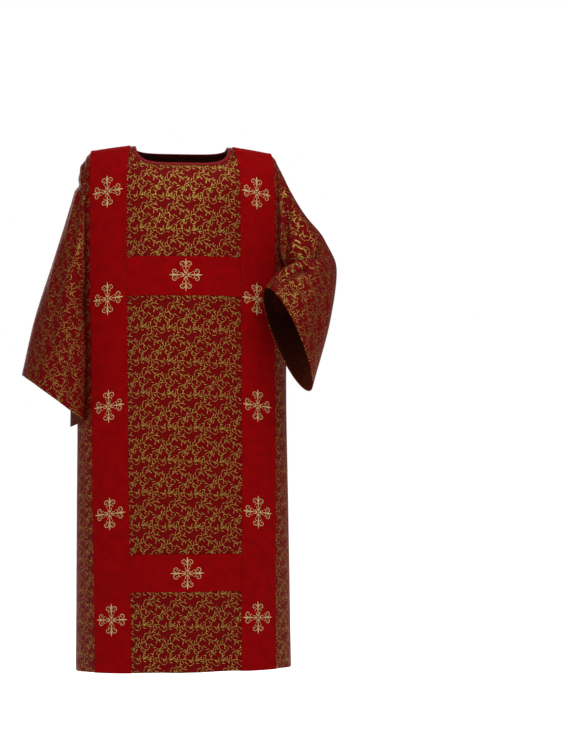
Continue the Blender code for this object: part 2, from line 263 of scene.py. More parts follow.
# One spray lying along its stem. Millimetres: start x, y, end x, y, bow to the left, half width.
SPRAY = [
    (-26, -8, -12, -2, 2.0, 0.80),  # stem
    (-12, -2, 4, 0, -1.5, 0.85),
    (4, 0, 18, 6, 1.8, 0.80),
    (18, 6, 30, 6.5, 1.2, 0.75),
    (29, 6.8, 36, 12, -1.2, 0.95),  # forked tip
    (29, 6, 36.5, 1.5, 1.0, 0.95),
    (-20, -4.4, -17, 3, 0.8, 1.00),  # leaves of the stem
    (-16, -3, -13.5, -10.5, -0.8, 1.00),
    (-7, -1.6, -3.5, 6, 0.7, 1.00),
    (-2, -1.2, 2.5, -8.5, 0.8, 1.05),
    (9, 2.2, 8, 8, -0.6, 0.95),
    (13, 4.6, 17.5, -2, 0.8, 1.00),
    (-25, -8, -33, -6, 0.6, 0.90),  # foot
    (-25, -8.5, -32, -13, -0.7, 0.95),
    (-24, -8, -27, -17, -0.8, 0.90),
    (-10, -2.5, -7, -15, -2.0, 0.80),  # large scroll under the stem
    (-7, -15, 4, -17, -3.0, 0.85),
    (4, -17, 5, -9.5, -2.6, 0.80),
    (5, -9.5, -1, -11, -1.8, 0.80),
    (-1, -11, 1.5, -14, -0.8, 0.85),
    (-8, -11, -14, -15, 0.6, 0.95),
    (0, 0.3, 3, 11, 1.8, 0.80),  # small scroll over the stem
    (3, 11, 12, 13.5, 2.6, 0.80),
    (12, 13.5, 14, 7.5, 2.0, 0.80),
    (14, 7.5, 9, 9.5, 1.2, 0.85),
    (20, 6, 26, -6, 1.6, 0.80),  # drooping buds
    (26, -6, 33, -8, 1.4, 1.10),
    (26, -6, 23, -13, -1.2, 1.10),
    (24, -1, 30.5, -1.5, -0.5, 0.90),
    (16, -15, 10, -8, 0.9, 1.00),  # loose leaves
    (13, -18, 20, -19, -0.8, 0.95),
    (-12, -2, -15, 8, -1.6, 0.80),  # curled tendril
    (-15, 8, -22, 10, -2.2, 0.80),
    (-22, 10, -20.5, 5.5, -1.4, 0.85),
    (-13.5, 4, -8, 8, 0.6, 0.95),
    (-14.5, 8, -11, 13.5, 0.5, 0.95),
    (20, 12, 26, 15, 0.8, 1.00),
]
SPRAY_SLANT = math.radians(17)
# Each spray of the repeat: its place, and whether it lies on its other side.
SPRAYS = ((0.0, 0.0, 1), (30.0, 34.0, -1))

VINE = []
for spray_x, spray_y, over in SPRAYS:
    for x0, y0, x1, y1, bow, half_width in SPRAY:
        ends = []
        for x, y in ((x0, over * y0), (x1, over * y1)):
            ends.append(spray_x + x * math.cos(SPRAY_SLANT) - y * math.sin(SPRAY_SLANT))
            ends.append(spray_y + x * math.sin(SPRAY_SLANT) + y * math.cos(SPRAY_SLANT))
        VINE.append((*ends, over * bow, half_width))


def wire(tree, kind, operation=None, values=(), output=0, **settings):
    """A new node with each value set or linked in order, and the socket that it gives."""
    node = tree.nodes.new(kind)
    if operation:
        node.operation = operation
    for key, value in settings.items():
        setattr(node, key, value)
    for socket, value in zip(node.inputs, values):
        if value is None:
            continue
        if isinstance(value, bpy.types.NodeSocket):
            tree.links.new(value, socket)
        else:
            socket.default_value = value
    return node.outputs[output]


def math_node(tree, operation, *values):
    return wire(tree, "ShaderNodeMath", operation, values)


def vine_figure(tree, place):
    """How far inside the nearest stroke a point lies, in millimetres, at a place in the repeat."""
    half = Vector((REPEAT[0] / 2, REPEAT[1] / 2, 0))
    found = None
    for number, (x0, y0, x1, y1, bow, half_width) in enumerate(VINE):
        if number % STROKES_AT_ONCE == 0 and found is not None:
            # Carrying the figure along, times nothing, makes the strokes be worked out in turn.
            place = wire(tree, "ShaderNodeVectorMath", "MULTIPLY_ADD", (found, (0, 0, 0), place))
        start, end = Vector((x0, y0, 0)), Vector((x1, y1, 0))
        middle, chord = (start + end) / 2, end - start
        left = Vector((-chord.y, chord.x, 0)).normalized()
        radius = (chord.length_squared / 4 + bow * bow) / (2 * abs(bow))
        centre = middle + left * (bow - math.copysign(radius, bow))
        spoke = left * math.copysign(1, bow)
        spread = math.asin(min(1.0, chord.length / 2 / radius))
        if abs(bow) > radius:
            spread = math.pi - spread
        near = wire(tree, "ShaderNodeVectorMath", "WRAP", (place, middle + half, middle - half))
        local = wire(
            tree,
            "ShaderNodeMapping",
            None,
            (near, centre, (0, 0, math.atan2(spoke.y, spoke.x))),
            vector_type="TEXTURE",
        )
        fine = half_width * FIGURE_FINENESS
        parts = tree.nodes.new("ShaderNodeSeparateXYZ")
        tree.links.new(local, parts.inputs[0])
        turn = math_node(tree, "ARCTAN2", parts.outputs[1], parts.outputs[0])
        share = math_node(tree, "MULTIPLY", turn, 1 / spread)
        taper = math_node(tree, "POWER", share, TAPER_POWER)
        width = math_node(tree, "MULTIPLY_ADD", taper, -fine, fine)
        out = wire(tree, "ShaderNodeVectorMath", "LENGTH", (local,), 1)
        off = math_node(tree, "ABSOLUTE", math_node(tree, "SUBTRACT", out, radius))
        inside = math_node(tree, "SUBTRACT", width, off)
        found = inside if found is None else math_node(tree, "MAXIMUM", found, inside)
    return found


def cloth_shader(name, roughness, specular, sheen=0.0, sheen_tint=(1, 1, 1), metallic=0.0):
    material = bpy.data.materials.new(name)
    material.use_nodes = True
    shader = material.node_tree.nodes["Principled BSDF"]
    shader.inputs["Roughness"].default_value = roughness
    shader.inputs["Specular IOR Level"].default_value = specular
    shader.inputs["Sheen Weight"].default_value = sheen
    shader.inputs["Sheen Roughness"].default_value = 0.4
    shader.inputs["Sheen Tint"].default_value = (*sheen_tint, 1.0)
    shader.inputs["Metallic"].default_value = metallic
    return material, material.node_tree, shader


def grain_place(tree, scale):
    """The point on the flat cloth, from the piece's own map, in units of 1/scale metres."""
    flat = wire(tree, "ShaderNodeUVMap", None, (), uv_map="Grain")
    return wire(tree, "ShaderNodeMapping", None, (flat, None, None, (scale, scale, scale)))


def colour_mix(tree, factor, first, second, blend="MIX"):
    node = tree.nodes.new("ShaderNodeMix")
    node.data_type = "RGBA"
    node.blend_type = blend
    for key, value in (("Factor_Float", factor), ("A_Color", first), ("B_Color", second)):
        socket = next(s for s in node.inputs if s.identifier == key)
        if isinstance(value, bpy.types.NodeSocket):
            tree.links.new(value, socket)
        elif key == "Factor_Float":
            socket.default_value = value
        else:
            socket.default_value = (*value, 1.0)
    return next(s for s in node.outputs if s.identifier == "Result_Color")


def soft_range(tree, value, low, high, to_low=0.0, to_high=1.0):
    return wire(
        tree,
        "ShaderNodeMapRange",
        None,
        (value, low, high, to_low, to_high),
        interpolation_type="SMOOTHSTEP",
    )


def raise_bump(tree, shader, height, strength, distance):
    bump = tree.nodes.new("ShaderNodeBump")
    bump.inputs["Strength"].default_value = strength
    bump.inputs["Distance"].default_value = distance
    tree.links.new(height, bump.inputs["Height"])
    tree.links.new(bump.outputs[0], shader.inputs["Normal"])


def patches(tree, place, scale, detail, roughness):
    """Uneven patches in the plane of the cloth, from 0 to 1."""
    values = (place, None, scale, detail, roughness)
    return wire(tree, "ShaderNodeTexNoise", None, values, noise_dimensions="2D")


# Each brocade colour comes twice: its own colour, and a lighter copy that is painted sheen on the satin and
# painted glints on the gold.
SATIN_DEEP = (0.068, 0.0005, 0.0011)
SATIN_PAINTED_SHEEN = (0.108, 0.0011, 0.0020)
GOLD_DULL = (0.100, 0.080, 0.018)
GOLD_PAINTED_GLINT = (0.34, 0.275, 0.055)
RIB_SHADE = (0.05, 0.001, 0.002)
GOLD_METALLIC = 0.80
SATIN_ROUGHNESS, GOLD_ROUGHNESS = 0.55, 0.34
WRONG_SIDE_RED, WRONG_SIDE_GOLD = (0.060, 0.0035, 0.0030), (0.095, 0.032, 0.008)

brocade, tree, shader = cloth_shader("gold and red brocade", 0.46, 0.06, 0.02, (1.0, 0.30, 0.32))
shader.inputs["Specular Tint"].default_value = (1.0, 0.30, 0.25, 1.0)
in_mm = grain_place(tree, 1000.0)
ragged = patches(tree, in_mm, 1.9, 2.0, 0.55)
# Painted light: soft patches a few millimetres across, where the satin gets painted sheen and the gold gets
# painted glints.
painted_glints = patches(tree, in_mm, 0.35, 3.0, 0.6)
figure = vine_figure(tree, in_mm)
worn = math_node(tree, "MULTIPLY_ADD", ragged, 0.4, math_node(tree, "SUBTRACT", figure, 0.2))
gold_here = soft_range(tree, worn, -FIGURE_EDGE, FIGURE_EDGE)
ground = colour_mix(tree, soft_range(tree, painted_glints, 0.3, 0.7), SATIN_DEEP, SATIN_PAINTED_SHEEN)
gold = colour_mix(tree, soft_range(tree, painted_glints, 0.35, 0.65), GOLD_DULL, GOLD_PAINTED_GLINT)
ribs = wire(
    tree,
    "ShaderNodeTexWave",
    None,
    (in_mm, 1.35, 0.6, 1.0),
    wave_type="BANDS",
    bands_direction="DIAGONAL",
)
ribbed = colour_mix(tree, soft_range(tree, ribs, 0.0, 1.0, 0.0, 0.22), ground, RIB_SHADE)
tree.links.new(colour_mix(tree, gold_here, ribbed, gold), shader.inputs["Base Color"])
tree.links.new(soft_range(tree, gold_here, 0, 1, 0.0, GOLD_METALLIC), shader.inputs["Metallic"])
matt = soft_range(tree, gold_here, 0, 1, SATIN_ROUGHNESS, GOLD_ROUGHNESS)
tree.links.new(matt, shader.inputs["Roughness"])
thread_height = math_node(tree, "ADD", ribs, math_node(tree, "MULTIPLY", ragged, 0.8))
raise_bump(tree, shader, thread_height, 0.35, 0.00025)

wrong_side, tree, shader = cloth_shader("wrong side of the brocade", 0.85, 0.05)
in_mm = grain_place(tree, 1000.0)
floats = soft_range(tree, patches(tree, in_mm, 0.30, 4.0, 0.6), 0.45, 0.7)
tree.links.new(
    colour_mix(tree, floats, WRONG_SIDE_RED, WRONG_SIDE_GOLD), shader.inputs["Base Color"]
)
ribs = wire(tree, "ShaderNodeTexWave", None, (in_mm, 1.2, 1.0, 2.0), wave_type="BANDS")
raise_bump(tree, shader, ribs, 0.5, 0.0003)


# ---------------------------------------------------------------- Front and back panels
# Two unlined lengths of brocade, joined along the shoulders and the sides. The neck is cut squarish, deeper
# in front, the armholes run straight down and turn out to the underarm, and the hem rises a little to the
# sides. The wearer's shoulders hold the body up.
ARMHOLE_DEPTH = 0.42
ARMHOLE_TOP, ARMHOLE_SET, ARMHOLE_TURN = 0.208, 0.014, 0.27
NECK_HALF_WIDTH, NECK_POWER = 0.1005, 5.0
NECK_DEPTHS = {1: 0.106, -1: 0.046}
BINDING_WIDTH = 0.006
SEAM_GAP, EDGE_GAP = 0.0003, 0.00005
NECK_EDGE = NECK_HALF_WIDTH + BINDING_WIDTH + SEAM_GAP
BROCADE_WALL = 0.0020


def half_girth(down):
    half_width, reach, _ = body_section(level_of(down), np.asarray(down) < 0)
    return outline_lengths(half_width, reach)[1][..., -1]


def armhole(down):
    down = np.abs(down)
    near = ARMHOLE_TOP + ARMHOLE_SET * smooth_step(down, 0, SHOULDER_TURN)
    return near + (half_girth(down) - near) * smooth_step(down, ARMHOLE_TURN, ARMHOLE_DEPTH + 0.004)


def panel_edge(down):
    down = np.asarray(down, float)
    return np.where(np.abs(down) < ARMHOLE_DEPTH, armhole(down), half_girth(down)) - EDGE_GAP


def neck_edge(across, depth, grown):
    inside = np.clip(1 - (np.abs(across) / (NECK_HALF_WIDTH + grown)) ** NECK_POWER, 0, 1)
    return (depth + grown) * inside ** (1 / NECK_POWER)


def mirrored(values):
    return np.concatenate([-values[:0:-1], values])


def cloth_piece(name, points, grain, materials, closed=False):
    """A grid of points as one cloth face, rows from the far end, with the flat cloth's map in metres."""
    rows, columns = points.shape[:2]
    form = bmesh.new()
    bmesh.ops.create_grid(form, x_segments=columns - 1, y_segments=rows - 1, size=1.0)
    form.verts.ensure_lookup_table()
    flat = form.loops.layers.uv.new("Grain")
    for face in form.faces:
        face.smooth = True
        for loop in face.loops:
            column = round((loop.vert.co.x + 1) / 2 * (columns - 1))
            row = round((loop.vert.co.y + 1) / 2 * (rows - 1))
            loop[flat].uv = grain[row, column]
    for vertex in form.verts:
        column = round((vertex.co.x + 1) / 2 * (columns - 1))
        row = round((vertex.co.y + 1) / 2 * (rows - 1))
        vertex.co = Vector(points[row, column])
    if closed:
        bmesh.ops.remove_doubles(form, verts=form.verts, dist=1e-6)
    mesh = bpy.data.meshes.new(name)
    form.to_mesh(mesh)
    form.free()
    for material in materials:
        mesh.materials.append(material)
    piece = bpy.data.objects.new(name, mesh)
    bpy.context.collection.objects.link(piece)
    return piece


def give_wall(piece, thickness, offset, inner_slot=0):
    wall = piece.modifiers.new("Wall", "SOLIDIFY")
    wall.thickness = thickness
    wall.offset = offset
    wall.material_offset = inner_slot


def body_grain(across, down):
    """The flat cloth's map on the body, where the figure stands on the shoulder line's skew."""
    across, down = np.broadcast_arrays(across, down)
    up = -down + FIGURE_SKEW * across
    return np.stack([across - FIGURE_START[0], up - FIGURE_START[1]], -1)


PANEL_ROWS, PANEL_ROW_SPREAD = 200, 1.05
NECK_COLUMNS, NECK_COLUMN_SPREAD, SIDE_COLUMNS = 23, 1.7, 41
FITTED_ABOVE = 0.30
neck_columns = NECK_EDGE * (1 - (1 - np.linspace(0, 1, NECK_COLUMNS)) ** NECK_COLUMN_SPREAD)
side_share = np.linspace(0, 1, SIDE_COLUMNS)[1:]
for panel_name, node, side in (("front", "front_panel", 1), ("back", "back_panel", -1)):
    points, grain = [], []
    for down in CLOTH_LENGTH * np.linspace(0, 1, PANEL_ROWS) ** PANEL_ROW_SPREAD:
        edge = float(panel_edge(down))
        across = mirrored(np.append(neck_columns, NECK_EDGE + (edge - NECK_EDGE) * side_share))
        top = neck_edge(across, NECK_DEPTHS[side], BINDING_WIDTH + SEAM_GAP)
        eased_in = top + (FITTED_ABOVE - top) * down / FITTED_ABOVE
        fitted = np.where(down < FITTED_ABOVE, eased_in, down)
        fitted = side * np.maximum(fitted, EDGE_GAP)
        points.append(cloth(across, fitted))
        grain.append(body_grain(across, fitted))
    panel = cloth_piece(
        panel_name, np.array(points)[::-side], np.array(grain)[::-side], (brocade, wrong_side)
    )
    give_wall(panel, BROCADE_WALL, -1.0, 1)
    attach(panel, "root")
    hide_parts(node)


# ---------------------------------------------------------------- Sleeves
# Two wide tubes of the same brocade, sewn into the armholes and left open at the hem. The right one hangs
# from a lowered arm, and the left one from a bent forearm, with a deep crease in the crook of the elbow.
SLEEVE_CLEARANCE, CLEARED_ALONG = 0.008, (-0.06, 0.12)
SEAM_HOLDS_TO = 0.30
CREASE_END_SHARE, CREASES_FULL_AT = 0.35, 0.04
FRONT_TEST_ROW = 20
CLEAR_LEVELS, CLEAR_WIDTHS, CLEAR_REACHES = (0.12, 0.23), (0.212, 0.228), (0.045, 0.080)

# Sections on the +X side: place along, two opposite points, half width to the side that shows, and the turn.
HANGING_SLEEVE = np.array(
    [
        (0.00, 0.211, 0.000, -0.027, 0.236, 0.000, -0.384, 0.000, -0.070, 0.000, 0),
        (0.08, 0.222, 0.002, -0.052, 0.222, 0.000, -0.404, 0.000, -0.077, 0.000, 0),
        (0.25, 0.2415, 0.004, -0.125, 0.203, 0.000, -0.440, 0.000, -0.090, 0.000, 0),
        (0.50, 0.280, 0.002, -0.252, 0.192, 0.000, -0.492, 0.000, -0.104, 0.000, 0),
        (0.75, 0.321, -0.002, -0.382, 0.190, 0.000, -0.556, 0.000, -0.110, 0.000, 0),
        (1.00, 0.349, -0.005, -0.506, 0.192, -0.002, -0.620, 0.000, -0.112, 0.004, 0),
    ]
)
BENT_SLEEVE = np.array(
    [
        (0.00, 0.211, 0.000, -0.027, 0.236, 0.000, -0.384, 0.000, -0.070, 0.000, 0),
        (0.10, 0.226, -0.004, -0.060, 0.240, -0.006, -0.376, 0.000, -0.078, 0.000, 0),
        (0.25, 0.258, -0.010, -0.122, 0.246, -0.020, -0.356, -0.010, -0.090, 0.000, 0),
        (0.43, 0.316, -0.006, -0.216, 0.226, -0.092, -0.322, 0.022, -0.050, 0.026, -32),
        (0.50, 0.338, 0.000, -0.247, 0.214, -0.108, -0.300, 0.016, -0.030, 0.018, -45),
        (0.57, 0.337, -0.018, -0.276, 0.204, -0.130, -0.289, 0.026, -0.062, 0.034, -45),
        (0.78, 0.306, -0.110, -0.408, 0.184, -0.174, -0.303, 0.032, -0.060, 0.026, -45),
        (1.00, 0.263, -0.198, -0.540, 0.166, -0.210, -0.322, 0.018, -0.058, 0.012, -45),
    ]
)

# Creases: place along and degrees from the top fold over the front, from and to, half width and rise.
HANGING_CREASES = [
    (0.01, 20, 0.05, 62, 0.007, -0.0040),
    (0.00, 45, 0.09, 80, 0.008, -0.0045),
    (0.02, 66, 0.20, 84, 0.008, -0.0040),
    (0.20, 90, 0.60, 104, 0.014, -0.0030),
    (0.045, -30, 0.045, 48, 0.010, 0.0040),
    (0.105, -40, 0.100, 56, 0.009, -0.0065),
    (0.08, 71, 0.28, 76, 0.012, 0.0040),
    (0.28, 76, 0.90, 94, 0.016, 0.0045),
    (0.14, 50, 0.40, 58, 0.012, -0.0032),
    (0.15, 38, 0.37, 43, 0.011, 0.0030),
    (0.42, 40, 0.80, 70, 0.016, -0.0036),
    (0.48, 28, 0.68, 48, 0.013, 0.0028),
    (0.62, 100, 1.00, 112, 0.015, -0.0045),
    (0.70, 36, 1.00, 52, 0.018, -0.0030),
    (0.05, -40, 0.16, -80, 0.010, -0.0050),
    (0.16, -80, 0.62, -118, 0.015, -0.0065),
    (0.30, -50, 0.85, -75, 0.018, 0.0045),
    (0.50, -30, 0.90, -52, 0.016, -0.0040),
    (0.70, -105, 1.00, -120, 0.016, -0.0050),
]
BENT_CREASES = [
    (0.90, 116, 0.71, 103, 0.011, -0.0180),
    (0.71, 103, 0.64, 85, 0.009, -0.0260),
    (0.64, 85, 0.61, 72, 0.008, -0.0260),
    (0.61, 72, 0.56, 54, 0.007, -0.0150),
    (0.56, 54, 0.50, 30, 0.006, -0.0050),
    (0.69, 97, 0.66, 72, 0.007, 0.0050),
    (0.57, 80, 0.53, 58, 0.009, 0.0040),
    (0.81, 101, 0.73, 83, 0.009, -0.0060),
    (0.73, 83, 0.66, 45, 0.008, -0.0055),
    (0.76, 90, 0.70, 52, 0.010, 0.0035),
    (0.90, 96, 0.80, 52, 0.012, -0.0040),
    (0.24, 70, 0.31, 82, 0.013, -0.0050),
    (0.33, 60, 0.42, 78, 0.012, -0.0045),
    (0.02, 30, 0.07, 70, 0.007, -0.0040),
    (0.03, 62, 0.16, 88, 0.008, -0.0050),
    (0.10, 80, 0.30, 104, 0.010, -0.0055),
    (0.10, 44, 0.36, 40, 0.014, 0.0040),
    (0.18, 14, 0.40, 20, 0.012, -0.0025),
    (0.66, 20, 0.90, 0, 0.014, 0.0035),
    (0.72, 34, 0.96, 22, 0.014, -0.0040),
    (0.06, -44, 0.22, -80, 0.011, -0.0055),
    (0.30, -40, 0.52, -28, 0.014, -0.0060),
    (0.46, -70, 0.60, -40, 0.012, -0.0070),
    (0.64, -100, 0.70, -50, 0.014, -0.0060),
    (0.80, -40, 1.00, -60, 0.015, -0.0045),
]
# The elbow is eased over the outer side of the fold: how many rows, the places along and the degrees round.
ELBOW_EASE_ROWS = 6
ELBOW_EASE_ALONG = (0.34, 0.46, 0.66, 0.82)
ELBOW_EASE_ROUND = (-120, -80, 38, 74)


def clear_of_body(points, clearance):
    """Moves points that are too near the body straight out from its middle."""
    level = np.maximum(-points[..., 2] - shoulder_drop(points[..., 0], 1.0), 1e-4)
    half_width, reach, sway = body_section(level, points[..., 1] > 0)
    x, y = points[..., 0] - sway, points[..., 1]
    near = (np.abs(x) / (half_width + clearance)) ** RING_POWER
    near += (np.abs(y) / (reach + clearance)) ** RING_POWER
    push = np.maximum(1.0, np.maximum(near, 1e-3) ** (-1 / RING_POWER))
    inside = 1 - smooth_step(np.abs(x), *CLEAR_WIDTHS)
    inside = inside * smooth_step(np.abs(y), *CLEAR_REACHES)
    push = 1 + (push - 1) * np.maximum(smooth_step(level, *CLEAR_LEVELS), inside)
    moved = points.copy()
    moved[..., 0] = x * push + sway
    moved[..., 1] = y * push
    return moved


def sleeve_rings(table, along, angle):
    groups = ((1, 2, 3), (4, 5, 6), (7, 8, 9))
    first, second, wide = (
        np.stack([flow(table, column, along) for column in group], -1) for group in groups
    )
    middle, long_way = (first + second) / 2, (first - second) / 2
    around = angle - np.radians(flow(table, 10, along))[..., None]
    return (
        middle[..., None, :]
        + long_way[..., None, :] * np.cos(around)[..., None]
        + wide[..., None, :] * np.sin(around)[..., None]
    )


def face_normals(points, wraps):
    """Unit normals of a grid of points, rows by columns, to the left of the columns' way."""
    if wraps:
        ahead, behind = np.roll(points[:, :-1], -1, 1), np.roll(points[:, :-1], 1, 1)
        a = np.concatenate([ahead - behind, (ahead - behind)[:, :1]], 1)
    else:
        a = np.gradient(points, axis=1)
    b = np.gradient(points, axis=0)
    normal = np.cross(a, b)
    return normal / np.maximum(np.linalg.norm(normal, axis=-1, keepdims=True), 1e-9)


def travelled(points, axis):
    """Distance along the grid's rows or columns, from the first point."""
    step = np.linalg.norm(np.diff(points, axis=axis), axis=-1)
    start = np.zeros_like(np.take(step, [0], axis))
    return np.concatenate([start, np.cumsum(step, axis)], axis)


def eased_elbow(points, angle, along):
    """The bent sleeve, its elbow rounded off on the outer side, where the cloth runs over without a fold."""
    reach = np.arange(-3 * ELBOW_EASE_ROWS, 3 * ELBOW_EASE_ROWS + 1)
    weights = np.exp(-0.5 * (reach / ELBOW_EASE_ROWS) ** 2)
    weights /= weights.sum()
    rows = np.clip(np.arange(len(points))[:, None] + reach, 0, len(points) - 1)
    eased = np.einsum("rkcx,k->rcx", points[rows], weights)
    a, b, c, d = ELBOW_EASE_ALONG
    share = smooth_step(along, a, b) * (1 - smooth_step(along, c, d))
    a, b, c, d = ELBOW_EASE_ROUND
    degrees = np.degrees(angle)
    share = share[:, None] * (smooth_step(degrees, a, b) * (1 - smooth_step(degrees, c, d)))
    return points + (eased - points) * share[..., None]


SLEEVE_ROUND, SLEEVE_ALONG = 160, 110
for sleeve_name, node, side, table, creases in (
    ("sleeve_hanging", "sleeve_right", -1, HANGING_SLEEVE, HANGING_CREASES),
    ("sleeve_bent", "sleeve_left", 1, BENT_SLEEVE, BENT_CREASES),
):
    angle = np.linspace(-np.pi, np.pi, SLEEVE_ROUND + 1)
    along = np.linspace(0, 1, SLEEVE_ALONG + 1)
    down = np.sign(angle) * ARMHOLE_DEPTH * (1 - np.cos(angle)) / 2
    down = np.clip(down, 2 * EDGE_GAP - ARMHOLE_DEPTH, ARMHOLE_DEPTH - 2 * EDGE_GAP)
    seam = cloth(armhole(down) + EDGE_GAP, down)
    free = sleeve_rings(table, along, angle)
    hold = (1 - smooth_step(along, 0, SEAM_HOLDS_TO))[:, None, None]
    clearance = SLEEVE_CLEARANCE * smooth_step(along, *CLEARED_ALONG)[:, None]
    points = clear_of_body(free + hold * (seam - free[0]), clearance)
    points[0] = seam
    if side > 0:
        points = eased_elbow(points, angle, along)

    # The flat map, laid out from the top fold: each step round is split into its parts along and across the
    # arm. The hanging sleeve takes the top fold's way as the arm's, and the bent one each column's own.
    top = SLEEVE_ROUND // 2
    length = travelled(points, 0)
    lengthwise = np.gradient(points, axis=0)
    lengthwise /= np.linalg.norm(lengthwise, axis=-1, keepdims=True)
    lengthwise = lengthwise[:, 1:] if side > 0 else lengthwise[:, top : top + 1]
    steps = np.diff(points, axis=1)
    with_arm = np.sum(steps * lengthwise, -1)
    across_arm = np.sqrt(np.maximum(np.sum(steps * steps, -1) - with_arm**2, 0))
    around, flat_down = (
        np.concatenate([np.zeros((len(along), 1)), np.cumsum(part, 1)], 1)
        for part in (across_arm, with_arm)
    )
    around -= around[:, top : top + 1]
    flat_down += length[:, top : top + 1] - flat_down[:, top : top + 1]
    creased = np.zeros_like(around)
    for place0, degrees0, place1, degrees1, half_width, rise in creases:
        row0, row1 = (round(place * SLEEVE_ALONG) for place in (place0, place1))
        col0, col1 = (
            round((degrees / 360 + 0.5) * SLEEVE_ROUND) for degrees in (degrees0, degrees1)
        )
        start = np.array([around[row0, col0], flat_down[row0, col0]])
        way = np.array([around[row1, col1], flat_down[row1, col1]]) - start
        off = np.stack([around, flat_down], -1) - start
        share = np.clip((off @ way) / (way @ way), 0, 1)
        away = np.linalg.norm(off - share[..., None] * way, axis=-1)
        ends = CREASE_END_SHARE + (1 - CREASE_END_SHARE) * np.sin(np.pi * share)
        creased += rise * ends * np.exp(-((away / half_width) ** 2))
    creased *= smooth_step(along, 0.0, CREASES_FULL_AT)[:, None]
    outer = face_normals(points, True)
    if np.sum(outer[FRONT_TEST_ROW, :, 1] * np.sin(angle)) > 0:
        outer = -outer
    points = points + outer * creased[..., None]
    points[:, -1] = points[:, 0]
    points[..., 0] *= side
    grain = np.stack([-flat_down, side * around], -1) - FIGURE_START
    grain[..., 1] += FIGURE_SKEW * grain[..., 0]
    if side < 0:
        points, grain = points[:, ::-1], grain[:, ::-1]
    sleeve = cloth_piece(sleeve_name, points, grain, (brocade, wrong_side), closed=True)
    give_wall(sleeve, BROCADE_WALL, -1.0, 1)
    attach(sleeve, "root")
    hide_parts(node)


# ---------------------------------------------------------------- Velvet strips and bands
# Deep red silk velvet with its cut edges turned under: a strip from hem to hem over each shoulder, and two
# bands across the front and the back. They are stitched flat, with a faint ridge where the turning ends.
STRIP_WIDTH = 0.0855
STRIP_START_TOP, STRIP_START, STRIP_TAPER = 0.1125, 0.1225, 0.004
STRIP_ROWS, BAND_COLUMNS = 460, 45
VELVET_WALL, VELVET_RIM = 0.0016, 0.0006
TURNED_EDGE, TURNED_RISE = 0.008, 0.00035
# The velvet's colour, and a lighter copy of it that is painted sheen.
VELVET_DEEP, VELVET_PAINTED_SHEEN = (0.136, 0.0001, 0.0005), (0.162, 0.0002, 0.0007)
PILE_SHADE = (0.11, 0.0, 0.001)
# Side, from and to down the cloth, and how far across and down the middle of the cross stands.
BANDS = {
    "band_front_upper": (1, 0.312, 0.396, 0.004, 0.352),
    "band_front_lower": (1, 0.948, 1.028, 0.002, 0.988),
    "band_back_upper": (-1, 0.262, 0.344, 0.002, 0.303),
    "band_back_lower": (-1, 0.930, 1.012, 0.000, 0.971),
}

velvet, tree, shader = cloth_shader("deep red velvet", 0.9, 0.03, 0.22, (1.0, 0.02, 0.02))
shader.inputs["Sheen Roughness"].default_value = 0.35
in_mm = grain_place(tree, 1000.0)
pile = patches(tree, in_mm, 1.1, 3.0, 0.6)
# Painted sheen: broad patches where the pile lies brushed another way are painted lighter, as though they
# caught the light.
brushed_pile_sheen = soft_range(tree, patches(tree, in_mm, 0.045, 2.0, 0.5), 0.35, 0.65)
shade = colour_mix(tree, brushed_pile_sheen, VELVET_DEEP, VELVET_PAINTED_SHEEN)
tree.links.new(
    colour_mix(tree, soft_range(tree, pile, 0.3, 0.7, 0.0, 0.35), shade, PILE_SHADE),
    shader.inputs["Base Color"],
)
raise_bump(tree, shader, pile, 0.30, 0.0003)


def strip_start(down):
    spread = smooth_step(np.abs(down), 0, SHOULDER_TURN)
    taper = STRIP_TAPER * smooth_step(np.abs(down), 0.7, CLOTH_LENGTH)
    return STRIP_START_TOP + (STRIP_START - STRIP_START_TOP) * spread - taper


def turned_rise(inset):
    """How far the velvet stands up over its turned edge, at a distance in from that edge."""
    return TURNED_RISE * (1 - smooth_step(inset, TURNED_EDGE - 0.0012, TURNED_EDGE + 0.0004))


def velvet_steps(width):
    """Distances from one edge to the other, close together at the turned edges."""
    edge = np.array([0, 0.0025, 0.005, 0.0068, 0.0074, 0.0080, 0.0086, 0.011])
    between = np.linspace(0.011, width - 0.011, max(3, round((width - 0.022) / 0.006)))[1:-1]
    return np.concatenate([edge, between, width - edge[::-1]])


def finish_velvet(piece, node):
    give_wall(piece, VELVET_WALL, 1.0)
    rim = piece.modifiers.new("Rim", "BEVEL")
    rim.width, rim.segments, rim.angle_limit = VELVET_RIM, 2, math.radians(50)
    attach(piece, "root")
    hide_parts(node)


def on_velvet(across, down, height):
    """A point above the velvet, at cloth coordinates."""
    return cloth(across, down) + outward(across, down) * np.asarray(height)[..., None]


